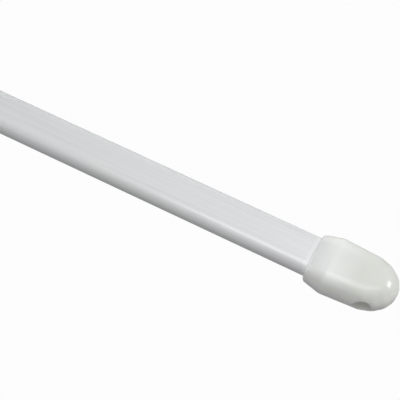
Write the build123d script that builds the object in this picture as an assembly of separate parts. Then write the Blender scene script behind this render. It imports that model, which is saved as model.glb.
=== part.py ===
from build123d import *

import math
import os

# Extendable sash rod: two flat-oval steel tubes, one sliding in the other, each ending in a moulded cap.
# Millimetres. X runs along the rod, with the outer tube's cap at +X, Y across its width and Z up.
# The origin is below the middle of the rod, on the surface that it lies on.

# Steel tubes, rolled from painted strip into a flat oval that stays open along a seam underneath
tube_width = 11.0
tube_thickness = 5.0
strip_thickness = 0.4
seam_gap = 0.8
slide_clearance = 0.1

# How the rod lengthens, and how far it is drawn out as modelled
travel = 200.0
kept_overlap = 60.0
end_gap = 6.0
drawn_out = 40.0

# Moulded cap: a collar that flares from the mouth's walls to the knee, a tapered body and a rounded nose
cap_length = 22.4
collar_length = 5.0
nose_length = 8.7
mouth_side_wall = 1.1
mouth_top_wall = 0.7
flare = 1.2
shoulder_inset = 0.6
parting_land = 0.2
knee_radius = 3.0
mouth_chamfer = 0.4

# Cross hole for the hook, and the socket for the tube, which stops short of it
hook_hole_diameter = 4.2
hook_hole_from_tip = 6.4
hook_hole_chamfer = 0.3
socket_floor = 2.9
socket_clearance = 0.05
lead_in = 0.15

# Flats in each half of the nose's outline, between its tip and its side
NOSE_FLATS = 4

# Sizes that follow from those above
inner_tube_width = tube_width - 2 * (strip_thickness + slide_clearance)
inner_tube_thickness = tube_thickness - 2 * (strip_thickness + slide_clearance)
mouth_width = tube_width + 2 * mouth_side_wall
mouth_thickness = tube_thickness + 2 * mouth_top_wall
knee_width = mouth_width + 2 * flare
body_thickness = mouth_thickness + 2 * flare
edge_radius = (body_thickness - parting_land) / 2
hook_hole_from_mouth = cap_length - hook_hole_from_tip
socket_depth = hook_hole_from_mouth - hook_hole_diameter / 2 - socket_floor
inner_tube_length = socket_depth + travel + kept_overlap
outer_tube_length = travel + kept_overlap + end_gap
overall_length = outer_tube_length - socket_depth + 2 * cap_length + drawn_out
mouth_x = overall_length / 2 - cap_length
mid_z = body_thickness / 2


def rolled_tube(width, thickness, length):
    """Tube along +X from the origin, open along a seam in the middle of its lower flat."""
    bore = SlotOverall(width - 2 * strip_thickness, thickness - 2 * strip_thickness)
    seam = Pos(0, -thickness / 2) * Rectangle(seam_gap, thickness)
    return extrude(Plane.YZ * (SlotOverall(width, thickness) - bore - seam), length)


def nose_corners():
    """Corners of one half of the nose's outline, from the tip on: a regular polygon drawn out to an oval."""
    step = math.pi / 2 / NOSE_FLATS
    along = nose_length / math.cos(step / 2)
    across = (knee_width / 2 - shoulder_inset) / math.cos(step / 2)
    turns = [step * (count + 0.5) for count in range(NOSE_FLATS)]
    nose_start = cap_length - nose_length
    return [(nose_start + along * math.cos(turn), across * math.sin(turn)) for turn in turns]


def cap_body():
    """Body with flats above and below, all its edges and corners rounded, and its sides run on to the mouth."""
    corners = nose_corners()
    shoulder_x, shoulder_y = corners[-1]
    side_slope = (knee_width / 2 - shoulder_y) / (shoulder_x - collar_length)
    half_outline = corners + [(0, knee_width / 2 + side_slope * collar_length)]
    other_half = [(x, -y) for x, y in reversed(half_outline)]
    plan = make_face(Polyline(half_outline + other_half, close=True))
    body = extrude(plan, body_thickness / 2, both=True)
    posts = body.edges().filter_by(Axis.Z).filter_by_position(Axis.X, collar_length, cap_length)
    body = fillet(posts, edge_radius)
    rims = body.edges().filter_by(Plane.XY).filter_by_position(Axis.X, 0, cap_length, (False, True))
    return fillet(rims, edge_radius)


def cap_shell():
    """Outside of the cap: its body, cut back at the mouth by the collar's flare."""
    mouth_radius = (mouth_thickness - parting_land) / 2
    mouth = Plane.YZ * RectangleRounded(mouth_width, mouth_thickness, mouth_radius)
    flare_angle = math.degrees(math.atan2(flare, collar_length))
    shell = cap_body() & extrude(mouth, cap_length, taper=-flare_angle)
    knee = shell.edges().filter_by_position(Axis.X, 0.9 * collar_length, 1.1 * collar_length)
    shell = fillet(knee, knee_radius)
    return chamfer(shell.edges().filter_by_position(Axis.X, 0, 0), mouth_chamfer)


def end_cap(width, thickness):
    """Cap along +X from its mouth at the origin, with a socket for a tube of that section."""
    hook_hole = Cylinder(hook_hole_diameter / 2, 2 * knee_width, rotation=(90, 0, 0))
    cap = cap_shell() - Pos(hook_hole_from_mouth, 0, 0) * hook_hole
    bore = cap.faces().filter_by(lambda face: math.isclose(face.radius or 0, hook_hole_diameter / 2))[0]
    cap = chamfer(bore.edges().filter_by(GeomType.LINE, reverse=True), hook_hole_chamfer)

    socket_width = width + 2 * socket_clearance
    socket_thickness = thickness + 2 * socket_clearance
    floor = Plane.YZ.offset(socket_depth) * SlotOverall(socket_width, socket_thickness)
    cap -= extrude(floor, -socket_depth)
    entry = SlotOverall(socket_width + 2 * lead_in, socket_thickness + 2 * lead_in)
    cap -= extrude(Plane.YZ * entry, lead_in, taper=45)
    return cap


def build():
    """The four pieces, in their places."""
    outer_end = Location((mouth_x, 0, mid_z))
    inner_end = Location((-mouth_x, 0, mid_z), (0, 0, 180))
    outer_tube_start = Location((mouth_x + socket_depth - outer_tube_length, 0, mid_z))
    inner_tube_start = Location((-mouth_x - socket_depth, 0, mid_z))
    outer_tube = rolled_tube(tube_width, tube_thickness, outer_tube_length)
    inner_tube = rolled_tube(inner_tube_width, inner_tube_thickness, inner_tube_length)
    return {
        "outer_tube": outer_tube_start * outer_tube,
        "inner_tube": inner_tube_start * inner_tube,
        "outer_end_cap": outer_end * end_cap(tube_width, tube_thickness),
        "inner_end_cap": inner_end * end_cap(inner_tube_width, inner_tube_thickness),
    }


os.makedirs("parts", exist_ok=True)
for name, piece in build().items():
    export_step(piece, f"parts/{name}.step")
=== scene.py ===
"""Extendable sash rod: finishes of its sliding tubes and moulded end caps, and the studio around them."""
import logging
import math
from dataclasses import dataclass
from enum import Enum, IntEnum

import bpy
from mathutils import Matrix, Vector


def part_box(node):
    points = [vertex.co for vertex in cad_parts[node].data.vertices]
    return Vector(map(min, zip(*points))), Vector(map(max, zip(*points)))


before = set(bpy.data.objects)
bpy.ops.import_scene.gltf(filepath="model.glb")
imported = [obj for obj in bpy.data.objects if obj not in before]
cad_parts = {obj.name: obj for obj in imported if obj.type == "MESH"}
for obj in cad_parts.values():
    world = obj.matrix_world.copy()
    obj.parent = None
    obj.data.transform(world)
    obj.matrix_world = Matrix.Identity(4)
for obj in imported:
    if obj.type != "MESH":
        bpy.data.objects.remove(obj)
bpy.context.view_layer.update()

MM = 0.001
# Side of the picture in pixels
IMAGE_SIDE = 400
LOG = logging.getLogger("sash_rod")

Tree = bpy.types.NodeTree
Socket = bpy.types.NodeSocket


class Slot(Enum):
    """Material slots of the record that the pieces take their finishes from."""

    LACQUER = "white_lacquer"
    PLASTIC = "cap_plastic"


class MixInput(IntEnum):
    """Inputs of a Mix node, which has one pair for plain values and another for colours."""

    FACTOR = 0
    VALUE_A = 2
    VALUE_B = 3
    COLOUR_A = 6
    COLOUR_B = 7


class MixOutput(IntEnum):
    """Outputs of a Mix node."""

    VALUE = 0
    COLOUR = 2


def linear(colour: str) -> tuple[float, float, float, float]:
    """Turn an sRGB colour into linear light.

    Args:
        colour: Hex value such as "#E0E2E4".

    Returns:
        Red, green, blue and alpha in linear light.
    """
    parts = [int(colour[start:start + 2], 16) / 255 for start in (1, 3, 5)]
    # The sRGB curve is a straight line in the darks and a power above them.
    red, green, blue = [
        part / 12.92 if part <= 0.04045 else ((part + 0.055) / 1.055) ** 2.4 for part in parts
    ]
    return red, green, blue, 1.0


def per_metre(size_mm: float) -> float:
    """Return the pattern scale that gives features of that size in millimetres."""
    return 1 / (size_mm * MM)


def add_node(
    tree: Tree,
    kind: str,
    values: dict[str | int, object] | None = None,
    links: dict[str | int, Socket] | None = None,
    **settings: object,
) -> bpy.types.Node:
    """Add a node with its settings and links.

    Args:
        tree: Node tree that gets the node.
        kind: Blender's identifier of the node type.
        values: Constant input values, by input name or index.
        links: Output sockets to link in, by input name or index.
        **settings: Properties of the node itself.

    Returns:
        The new node.
    """
    node = tree.nodes.new(kind)
    for name, value in settings.items():
        setattr(node, name, value)
    for name, value in (values or {}).items():
        node.inputs[name].default_value = value
    for name, socket in (links or {}).items():
        tree.links.new(socket, node.inputs[name])
    return node


def new_material(name: str) -> bpy.types.Material:
    """Make a material with an empty node tree.

    Args:
        name: Name of the material.

    Returns:
        The new material.
    """
    material = bpy.data.materials.new(name)
    material.use_nodes = True
    material.node_tree.nodes.clear()
    return material


@dataclass(frozen=True)
class RodPlan:
    """Places that the finishes refer to.

    Those along the rod are counted from its middle, and are the same for both ends.
    """

    mouth: float
    tube_end: float
    mid_height: float

    @classmethod
    def read(cls) -> "RodPlan":
        """Return the places, read off the CAD nodes."""
        low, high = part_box("outer_end_cap")
        return cls(mouth=low.x, tube_end=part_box("outer_tube")[1].x, mid_height=(low.z + high.z) / 2)


@dataclass(frozen=True)
class ShearedEdges:
    """Where a tube's strip was sheared and its steel is bare: both ends and both sides of the seam."""

    middle_x: float
    half_length: float
    seam_half: float
    mid_height: float
    # How far the mark reaches past the edge itself
    depth: float = 0.03 * MM

    def mask(self, tree: Tree, place: Socket) -> Socket:
        """Mark the bare steel.

        Args:
            tree: Node tree of the material.
            place: Object coordinates.

        Returns:
            One on the sheared edges and nought elsewhere.
        """
        along, across, height = add_node(tree, "ShaderNodeSeparateXYZ", links={"Vector": place}).outputs
        shifted = add_node(tree, "ShaderNodeMath", {1: self.middle_x}, {0: along}, operation="SUBTRACT")
        outwards = add_node(tree, "ShaderNodeMath", links={0: shifted.outputs["Value"]}, operation="ABSOLUTE")
        ends = add_node(
            tree, "ShaderNodeMath", {1: self.half_length, 2: self.depth}, {0: outwards.outputs["Value"]},
            operation="COMPARE",
        )
        aside = add_node(tree, "ShaderNodeMath", links={0: across}, operation="ABSOLUTE")
        beside = add_node(
            tree, "ShaderNodeMath", {1: self.seam_half + self.depth}, {0: aside.outputs["Value"]},
            operation="LESS_THAN",
        )
        below = add_node(tree, "ShaderNodeMath", {1: self.mid_height}, {0: height}, operation="LESS_THAN")
        seam = add_node(
            tree, "ShaderNodeMath", links={0: beside.outputs["Value"], 1: below.outputs["Value"]},
            operation="MULTIPLY",
        )
        either = add_node(
            tree, "ShaderNodeMath", links={0: ends.outputs["Value"], 1: seam.outputs["Value"]},
            operation="MAXIMUM",
        )
        return either.outputs["Value"]


@dataclass(frozen=True)
class StovedLacquer:
    """White lacquer stoved on steel strip before the strip is rolled into a tube."""

    # A thin hard film: a cool white, here and there faintly green, whose semi-gloss draws a bright line along
    # the tube's bend. It dries with a slight orange peel, and the edges sheared later are bare grey steel.
    name: str = "stoved_white_lacquer_on_steel"
    white: str = "#E6E6E9"
    greenish_white: str = "#E4E9E7"
    streak_white: str = "#DFE0E2"
    # Painted light: the tube is painted whiter in a ring beside each cap's mouth, for the light that the cap
    # bounces onto it.
    mouth_bounce_white: str = "#F0F1F2"
    steel: str = "#9A9C9E"
    cast_mm: float = 30.0
    cast_range: tuple[float, float] = (0.35, 0.65)
    # The rolls' marks are about 0.2 mm wide, and are drawn this much coarser so that they show.
    streak_mm: float = 0.9
    streak_length_mm: float = 60.0
    streak_range: tuple[float, float] = (0.40, 0.75)
    streak_roughness: float = 0.04
    # How far from the cap's mouth the painted light reaches
    mouth_bounce_mm: float = 1.6
    peel_mm: float = 1.3
    peel_height_mm: float = 0.003
    roughness: float = 0.17
    steel_roughness: float = 0.38
    ior: float = 1.5
    # How much of the lacquer is rubbed through to grey where the marks are highest
    rub: float = 0.0
    rub_range: tuple[float, float] = (0.58, 0.72)

    def make(self, edges: ShearedEdges, plan: RodPlan) -> bpy.types.Material:
        """Build the lacquer.

        Args:
            edges: Where the strip's steel is bare.
            plan: Places on the rod.

        Returns:
            The finished material.
        """
        material = new_material(self.name)
        tree = material.node_tree
        place = add_node(tree, "ShaderNodeTexCoord").outputs["Object"]
        bare = edges.mask(tree, place)
        streaks = self.streaks(tree, place)
        # The lacquer's colour, with painted light beside the caps' mouths
        painted = self.paint_mouth_bounce(tree, place, self.paint(tree, place, streaks), plan)
        shader = add_node(
            tree, "ShaderNodeBsdfPrincipled", {"IOR": self.ior},
            {
                "Base Color": self.wear(tree, painted, streaks, bare),
                "Metallic": bare,
                "Roughness": self.gloss(tree, streaks, bare),
                "Normal": self.peel(tree, place),
            },
        )
        add_node(tree, "ShaderNodeOutputMaterial", links={"Surface": shader.outputs["BSDF"]})
        return material

    def streaks(self, tree: Tree, place: Socket) -> Socket:
        """Draw the marks that the rolls leave along the rod.

        Args:
            tree: Node tree of the material.
            place: Object coordinates.

        Returns:
            The pattern of the marks, from nought to one.
        """
        drawn_out = (self.streak_mm / self.streak_length_mm, 1.0, 1.0)
        along = add_node(tree, "ShaderNodeMapping", {"Scale": drawn_out}, {"Vector": place}).outputs["Vector"]
        noise = add_node(tree, "ShaderNodeTexNoise", {"Scale": per_metre(self.streak_mm)}, {"Vector": along})
        return noise.outputs["Fac"]

    def paint(self, tree: Tree, place: Socket, streaks: Socket) -> Socket:
        """Colour the lacquer itself.

        Args:
            tree: Node tree of the material.
            place: Object coordinates.
            streaks: Pattern of the roll marks.

        Returns:
            The white with its greenish cast and its streaks.
        """
        clouds = add_node(tree, "ShaderNodeTexNoise", {"Scale": per_metre(self.cast_mm)}, {"Vector": place})
        cast = add_node(
            tree, "ShaderNodeMapRange", {"From Min": self.cast_range[0], "From Max": self.cast_range[1]},
            {"Value": clouds.outputs["Fac"]},
        )
        plain = add_node(
            tree, "ShaderNodeMix",
            {MixInput.COLOUR_A: linear(self.white), MixInput.COLOUR_B: linear(self.greenish_white)},
            {MixInput.FACTOR: cast.outputs["Result"]}, data_type="RGBA",
        )
        lines = add_node(
            tree, "ShaderNodeMapRange", {"From Min": self.streak_range[0], "From Max": self.streak_range[1]},
            {"Value": streaks},
        )
        streaked = add_node(
            tree, "ShaderNodeMix", {MixInput.COLOUR_B: linear(self.streak_white)},
            {MixInput.FACTOR: lines.outputs["Result"], MixInput.COLOUR_A: plain.outputs[MixOutput.COLOUR]},
            data_type="RGBA",
        )
        return streaked.outputs[MixOutput.COLOUR]

    def paint_mouth_bounce(self, tree: Tree, place: Socket, painted: Socket, plan: RodPlan) -> Socket:
        """Paint light onto the tube beside the cap's mouth: painted light that the cap bounces onto it,
        brightest at the mouth.

        Args:
            tree: Node tree of the material.
            place: Object coordinates.
            painted: Colour of the lacquer.
            plan: Places on the rod.

        Returns:
            The colour with the ring.
        """
        along = add_node(tree, "ShaderNodeSeparateXYZ", links={"Vector": place}).outputs["X"]
        outwards = add_node(tree, "ShaderNodeMath", links={0: along}, operation="ABSOLUTE")
        ring = add_node(
            tree, "ShaderNodeMapRange", {"From Min": plan.mouth - self.mouth_bounce_mm * MM, "From Max": plan.mouth},
            {"Value": outwards.outputs["Value"]}, interpolation_type="SMOOTHSTEP",
        )
        bounced = add_node(
            tree, "ShaderNodeMix", {MixInput.COLOUR_B: linear(self.mouth_bounce_white)},
            {MixInput.FACTOR: ring.outputs["Result"], MixInput.COLOUR_A: painted}, data_type="RGBA",
        )
        return bounced.outputs[MixOutput.COLOUR]

    def wear(self, tree: Tree, painted: Socket, streaks: Socket, bare: Socket) -> Socket:
        """Rub the lacquer grey along the highest of its roll marks, and bare the sheared edges.

        Args:
            tree: Node tree of the material.
            painted: Colour of the lacquer.
            streaks: Pattern of the roll marks.
            bare: Mask of the bare steel.

        Returns:
            The base colour.
        """
        marks = add_node(
            tree, "ShaderNodeMapRange",
            {"From Min": self.rub_range[0], "From Max": self.rub_range[1], "To Max": self.rub},
            {"Value": streaks},
        )
        rubbed = add_node(
            tree, "ShaderNodeMix", {MixInput.COLOUR_B: linear(self.steel)},
            {MixInput.FACTOR: marks.outputs["Result"], MixInput.COLOUR_A: painted}, data_type="RGBA",
        )
        bared = add_node(
            tree, "ShaderNodeMix", {MixInput.COLOUR_B: linear(self.steel)},
            {MixInput.FACTOR: bare, MixInput.COLOUR_A: rubbed.outputs[MixOutput.COLOUR]}, data_type="RGBA",
        )
        return bared.outputs[MixOutput.COLOUR]

    def gloss(self, tree: Tree, streaks: Socket, bare: Socket) -> Socket:
        """Vary the gloss, which is streaky on the lacquer and even on the bare steel.

        Args:
            tree: Node tree of the material.
            streaks: Pattern of the roll marks.
            bare: Mask of the bare steel.

        Returns:
            The roughness.
        """
        smooth, rough = self.roughness - self.streak_roughness, self.roughness + self.streak_roughness
        lacquer = add_node(
            tree, "ShaderNodeMapRange", {"To Min": smooth, "To Max": rough}, {"Value": streaks}
        )
        mixed = add_node(
            tree, "ShaderNodeMix", {MixInput.VALUE_B: self.steel_roughness},
            {MixInput.FACTOR: bare, MixInput.VALUE_A: lacquer.outputs["Result"]},
        )
        return mixed.outputs[MixOutput.VALUE]

    def peel(self, tree: Tree, place: Socket) -> Socket:
        """Raise the lacquer's orange peel.

        Args:
            tree: Node tree of the material.
            place: Object coordinates.

        Returns:
            The surface normal.
        """
        noise = add_node(tree, "ShaderNodeTexNoise", {"Scale": per_metre(self.peel_mm)}, {"Vector": place})
        relief = add_node(
            tree, "ShaderNodeBump", {"Distance": self.peel_height_mm * MM}, {"Height": noise.outputs["Fac"]}
        )
        return relief.outputs["Normal"]


@dataclass(frozen=True)
class MouldedPolypropylene:
    """Natural-white polypropylene, moulded in two halves that meet at the cap's mid-height."""

    # Milky to look into and faintly green, with a satin sheen. Light is painted into its colour: it is
    # painted whiter where a flat of the lacquered tube lies close behind it, and at its rounded edges, where
    # the light that it takes in comes out again. A fine line is left where the mould's halves met.
    name: str = "moulded_white_polypropylene"
    white: str = "#E1E3DE"
    cloudy_white: str = "#DDDFDA"
    # The painted light over the tube fades out about the tube's end, and from the flats towards the parting
    # plane.
    painted_tube_glow_white: str = "#EFF1ED"
    fade_past_tube_mm: tuple[float, float] = (-5.0, 1.5)
    fade_off_middle_mm: tuple[float, float] = (1.8, 4.4)
    # The painted light at the edges fades out from the parting plane towards the flats.
    painted_edge_glow_white: str = "#FCFCF6"
    edge_off_middle_mm: tuple[float, float] = (0.5, 4.0)
    cloud_mm: float = 6.0
    # The mould's grain is about 0.05 mm, and is drawn this much coarser so that it shows.
    grain_mm: float = 0.35
    grain_height_mm: float = 0.002
    line_width_mm: float = 0.12
    line_height_mm: float = 0.02
    roughness: float = 0.24
    roughness_spread: float = 0.05
    ior: float = 1.49
    milkiness: float = 0.9
    milk_depth_mm: float = 2.8
    milk_tint: tuple[float, float, float] = (1.0, 1.0, 0.9)

    def make(self, plan: RodPlan) -> bpy.types.Material:
        """Build the plastic.

        Args:
            plan: Places on the rod.

        Returns:
            The finished material, which suits both caps.
        """
        material = new_material(self.name)
        tree = material.node_tree
        place = add_node(tree, "ShaderNodeTexCoord").outputs["Object"]
        along, _, height = add_node(tree, "ShaderNodeSeparateXYZ", links={"Vector": place}).outputs
        outwards = add_node(tree, "ShaderNodeMath", links={0: along}, operation="ABSOLUTE").outputs["Value"]
        above = add_node(tree, "ShaderNodeMath", {1: plan.mid_height}, {0: height}, operation="SUBTRACT")
        off_middle = add_node(
            tree, "ShaderNodeMath", links={0: above.outputs["Value"]}, operation="ABSOLUTE"
        ).outputs["Value"]
        clouds = add_node(
            tree, "ShaderNodeTexNoise", {"Scale": per_metre(self.cloud_mm)}, {"Vector": place}
        ).outputs["Fac"]
        smooth, rough = self.roughness - self.roughness_spread, self.roughness + self.roughness_spread
        gloss = add_node(tree, "ShaderNodeMapRange", {"To Min": smooth, "To Max": rough}, {"Value": clouds})
        # Where light is painted onto the plastic over the tube's flats
        tube_glow = self.tube_glow(tree, outwards, off_middle, plan)
        shader = add_node(
            tree, "ShaderNodeBsdfPrincipled",
            {
                "IOR": self.ior,
                "Subsurface Weight": self.milkiness,
                "Subsurface Radius": self.milk_tint,
                "Subsurface Scale": self.milk_depth_mm * MM,
            },
            {
                "Base Color": self.colour(tree, clouds, off_middle, tube_glow),
                "Roughness": gloss.outputs["Result"],
                "Normal": self.relief(tree, place, off_middle),
            },
        )
        add_node(tree, "ShaderNodeOutputMaterial", links={"Surface": shader.outputs["BSDF"]})
        return material

    def tube_glow(self, tree: Tree, outwards: Socket, off_middle: Socket, plan: RodPlan) -> Socket:
        """Mark where light is painted onto the plastic, over the places where a flat of the tube lies close
        behind it.

        Args:
            tree: Node tree of the material.
            outwards: Distance from the rod's middle.
            off_middle: Distance from the parting plane.
            plan: Places on the rod.

        Returns:
            One over the tube's flats, fading to nought past its end and round its edges.
        """
        fade_start, fade_end = [plan.tube_end + place * MM for place in self.fade_past_tube_mm]
        before_end = add_node(
            tree, "ShaderNodeMapRange",
            {"From Min": fade_start, "From Max": fade_end, "To Min": 1.0, "To Max": 0.0}, {"Value": outwards},
        )
        low, high = [place * MM for place in self.fade_off_middle_mm]
        on_flat = add_node(
            tree, "ShaderNodeMapRange", {"From Min": low, "From Max": high}, {"Value": off_middle},
            interpolation_type="SMOOTHSTEP",
        )
        both = add_node(
            tree, "ShaderNodeMath", links={0: before_end.outputs["Result"], 1: on_flat.outputs["Result"]},
            operation="MULTIPLY",
        )
        return both.outputs["Value"]

    def colour(self, tree: Tree, clouds: Socket, off_middle: Socket, tube_glow: Socket) -> Socket:
        """Mix the plastic's cloudy white with the painted light at its edges and over the tube.

        Args:
            tree: Node tree of the material.
            clouds: Pattern of the clouds in the plastic.
            off_middle: Distance from the parting plane.
            tube_glow: Mask of the places over the tube.

        Returns:
            The base colour.
        """
        solid = add_node(
            tree, "ShaderNodeMix",
            {MixInput.COLOUR_A: linear(self.white), MixInput.COLOUR_B: linear(self.cloudy_white)},
            {MixInput.FACTOR: clouds}, data_type="RGBA",
        )
        low, high = [place * MM for place in self.edge_off_middle_mm]
        # Painted light on the rounded sides, strongest at the parting plane
        edge_glow = add_node(
            tree, "ShaderNodeMapRange", {"From Min": low, "From Max": high, "To Min": 1.0, "To Max": 0.0},
            {"Value": off_middle}, interpolation_type="SMOOTHSTEP",
        )
        with_edge_glow = add_node(
            tree, "ShaderNodeMix", {MixInput.COLOUR_B: linear(self.painted_edge_glow_white)},
            {MixInput.FACTOR: edge_glow.outputs["Result"], MixInput.COLOUR_A: solid.outputs[MixOutput.COLOUR]},
            data_type="RGBA",
        )
        mixed = add_node(
            tree, "ShaderNodeMix", {MixInput.COLOUR_B: linear(self.painted_tube_glow_white)},
            {MixInput.FACTOR: tube_glow, MixInput.COLOUR_A: with_edge_glow.outputs[MixOutput.COLOUR]},
            data_type="RGBA",
        )
        return mixed.outputs[MixOutput.COLOUR]

    def relief(self, tree: Tree, place: Socket, off_middle: Socket) -> Socket:
        """Raise the mould's grain and its parting line.

        Args:
            tree: Node tree of the material.
            place: Object coordinates.
            off_middle: Distance from the parting plane.

        Returns:
            The surface normal.
        """
        line = add_node(
            tree, "ShaderNodeMapRange",
            {"From Max": self.line_width_mm / 2 * MM, "To Min": 1.0, "To Max": 0.0}, {"Value": off_middle},
            interpolation_type="SMOOTHSTEP",
        )
        flash = add_node(
            tree, "ShaderNodeBump", {"Distance": self.line_height_mm * MM}, {"Height": line.outputs["Result"]}
        )
        noise = add_node(tree, "ShaderNodeTexNoise", {"Scale": per_metre(self.grain_mm)}, {"Vector": place})
        grain = add_node(
            tree, "ShaderNodeBump", {"Distance": self.grain_height_mm * MM},
            {"Height": noise.outputs["Fac"], "Normal": flash.outputs["Normal"]},
        )
        return grain.outputs["Normal"]


def put_on(node: str, material: bpy.types.Material) -> None:
    """Dress a CAD node in one material.

    Args:
        node: Name of the node.
        material: Finish that it gets.
    """
    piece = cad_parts[node]
    piece.data.materials.clear()
    piece.data.materials.append(material)


@dataclass
class SlidingTube:
    """One flat-oval tube of the rod, rolled from lacquered strip."""

    node: str
    lacquer: StovedLacquer
    seam_gap_mm: float = 0.8

    def dress(self, plan: RodPlan) -> None:
        """Give the tube its lacquer, with bare steel where the strip was sheared.

        Args:
            plan: Places on the rod.
        """
        low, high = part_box(self.node)
        edges = ShearedEdges(
            middle_x=(low.x + high.x) / 2,
            half_length=(high.x - low.x) / 2,
            seam_half=self.seam_gap_mm / 2 * MM,
            mid_height=plan.mid_height,
        )
        put_on(self.node, self.lacquer.make(edges, plan))


@dataclass
class EndCap:
    """Moulded cap, pressed on one end of the rod."""

    node: str

    def dress(self, plastic: bpy.types.Material) -> None:
        """Give the cap its plastic."""
        put_on(self.node, plastic)


@dataclass(frozen=True)
class Lamp:
    """Square softbox that points at the middle of a piece. Its distance and size are in metres."""

    name: str
    direction: tuple[float, float, float]
    distance: float
    size: float
    watts: float
    target: str = "outer_end_cap"

    def hang(self) -> None:
        """Hang the lamp in its direction from the piece."""
        light = bpy.data.lights.new(self.name, "AREA")
        light.size = self.size
        light.energy = self.watts
        low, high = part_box(self.target)
        towards = Vector(self.direction).normalized()
        lamp = bpy.data.objects.new(self.name, light)
        lamp.location = (low + high) / 2 + towards * self.distance
        lamp.rotation_euler = towards.to_track_quat("Z", "Y").to_euler()
        bpy.context.scene.collection.objects.link(lamp)


@dataclass
class Studio:
    """White table, softboxes, dim surroundings and the camera."""

    # In metres, so wide that its edges stay out of the picture
    table_size: float = 20.0
    # How bright the table looks, how bright it is to the rod above it, and how bright the room is. The last
    # two blend in directions that rise or fall by less than horizon.
    table_white: float = 0.98
    table_glow: float = 0.34
    surroundings: float = 0.17
    horizon: float = 0.1
    lamps: tuple[Lamp, ...] = (
        # Lights the flats, and draws the bright line along the rod's near bend
        Lamp("overhead_softbox", (-0.10, 0.06, 1.0), distance=0.36, size=0.21, watts=0.47),
        # Fills the near sides
        Lamp("front_fill", (0.05, -0.48, 0.85), distance=0.60, size=0.50, watts=0.58),
        # Makes the bright spot on the cap's nose
        Lamp("right_softbox", (0.606, 0.443, 0.661), distance=0.36, size=0.13, watts=0.56),
        # Lights the slope of the cap's collar and the rim of its mouth, from low beyond the inner end
        Lamp("left_panel", (-0.93, 0.36, 0.06), distance=4.00, size=0.55, watts=72.0),
        # Lights the end that the picture doesn't reach
        Lamp(
            "inner_end_softbox", (-0.45, 0.35, 0.82), distance=0.25, size=0.14, watts=0.17,
            target="inner_end_cap",
        ),
    )
    # Fitted to the outlines of the rod and the cap in the picture
    camera_azimuth: float = 27.968
    camera_elevation: float = 60.863
    camera_distance_mm: float = 296.84
    nearest_seen_mm: float = 10.0
    focal_length_px: float = 1200.0
    mouth_in_image: tuple[float, float] = (313.45, 257.43)
    sensor_mm: float = 36.0

    def lay_table(self) -> None:
        """Lay the white table, which is overexposed as in the picture and takes no shadow."""
        material = new_material("white_table")
        tree = material.node_tree
        glow = add_node(tree, "ShaderNodeEmission", {"Strength": self.table_white})
        add_node(tree, "ShaderNodeOutputMaterial", links={"Surface": glow.outputs["Emission"]})
        bpy.ops.mesh.primitive_plane_add(size=self.table_size)
        table = bpy.context.object
        table.name = "table"
        table.data.materials.append(material)
        table.visible_diffuse = False
        table.visible_glossy = False

    def hang_lamps(self) -> None:
        """Hang all the softboxes."""
        for lamp in self.lamps:
            lamp.hang()

    def surround(self) -> None:
        """Let the room glow dimly from above and the table from below."""
        world = bpy.data.worlds.new("surroundings")
        world.use_nodes = True
        tree = world.node_tree
        tree.nodes.clear()
        towards = add_node(tree, "ShaderNodeTexCoord").outputs["Generated"]
        height = add_node(tree, "ShaderNodeSeparateXYZ", links={"Vector": towards}).outputs["Z"]
        glow = add_node(
            tree, "ShaderNodeMapRange",
            {
                "From Min": -self.horizon,
                "From Max": self.horizon,
                "To Min": self.table_glow,
                "To Max": self.surroundings,
            },
            {"Value": height},
        )
        sky = add_node(
            tree, "ShaderNodeBackground", {"Color": linear("#FFFFFF")}, {"Strength": glow.outputs["Result"]}
        )
        add_node(tree, "ShaderNodeOutputWorld", links={"Surface": sky.outputs["Background"]})
        # Rays that leave the rod find such a smooth glow by themselves. Sampled as a lamp too, it adds grain.
        world.cycles.sampling_method = "NONE"
        bpy.context.scene.world = world

    def aim_camera(self, plan: RodPlan) -> None:
        """Set up the camera so that the outer cap's mouth falls on its place in the picture.

        Args:
            plan: Places on the rod.
        """
        turn, rise = math.radians(self.camera_azimuth), math.radians(self.camera_elevation)
        back = Vector((math.sin(turn) * math.cos(rise), -math.cos(turn) * math.cos(rise), math.sin(rise)))
        right = Vector((math.cos(turn), math.sin(turn), 0.0))
        up = back.cross(right)
        distance = self.camera_distance_mm * MM
        across, down = [
            (place - IMAGE_SIDE / 2) / self.focal_length_px * distance for place in self.mouth_in_image
        ]
        lens = bpy.data.cameras.new("camera")
        lens.sensor_width = self.sensor_mm
        lens.lens = self.focal_length_px * self.sensor_mm / IMAGE_SIDE
        lens.clip_start = self.nearest_seen_mm * MM
        camera = bpy.data.objects.new("camera", lens)
        mouth = Vector((plan.mouth, 0.0, plan.mid_height))
        eye = mouth + back * distance - right * across + up * down
        camera.matrix_world = Matrix.Translation(eye) @ Matrix((right, up, back)).transposed().to_4x4()
        bpy.context.scene.collection.objects.link(camera)
        bpy.context.scene.camera = camera
        # Colours come out as they are, with no film curve over them.
        bpy.context.scene.view_settings.view_transform = "Standard"


def main() -> None:
    """Dress the rod's pieces, then set up the studio."""
    logging.basicConfig(level=logging.INFO)
    plan = RodPlan.read()
    rubbed = StovedLacquer(name="rubbed_white_lacquer_on_steel", rub=0.25)
    for tube in (SlidingTube("outer_tube", StovedLacquer()), SlidingTube("inner_tube", rubbed)):
        tube.dress(plan)
        LOG.info("%s dressed in %s", tube.node, tube.lacquer.name)
    plastic = MouldedPolypropylene().make(plan)
    for cap in (EndCap("outer_end_cap"), EndCap("inner_end_cap")):
        cap.dress(plastic)
        LOG.info("%s dressed in %s", cap.node, plastic.name)
    studio = Studio()
    studio.lay_table()
    studio.hang_lamps()
    studio.surround()
    studio.aim_camera(plan)


if __name__ == "__main__":
    main()
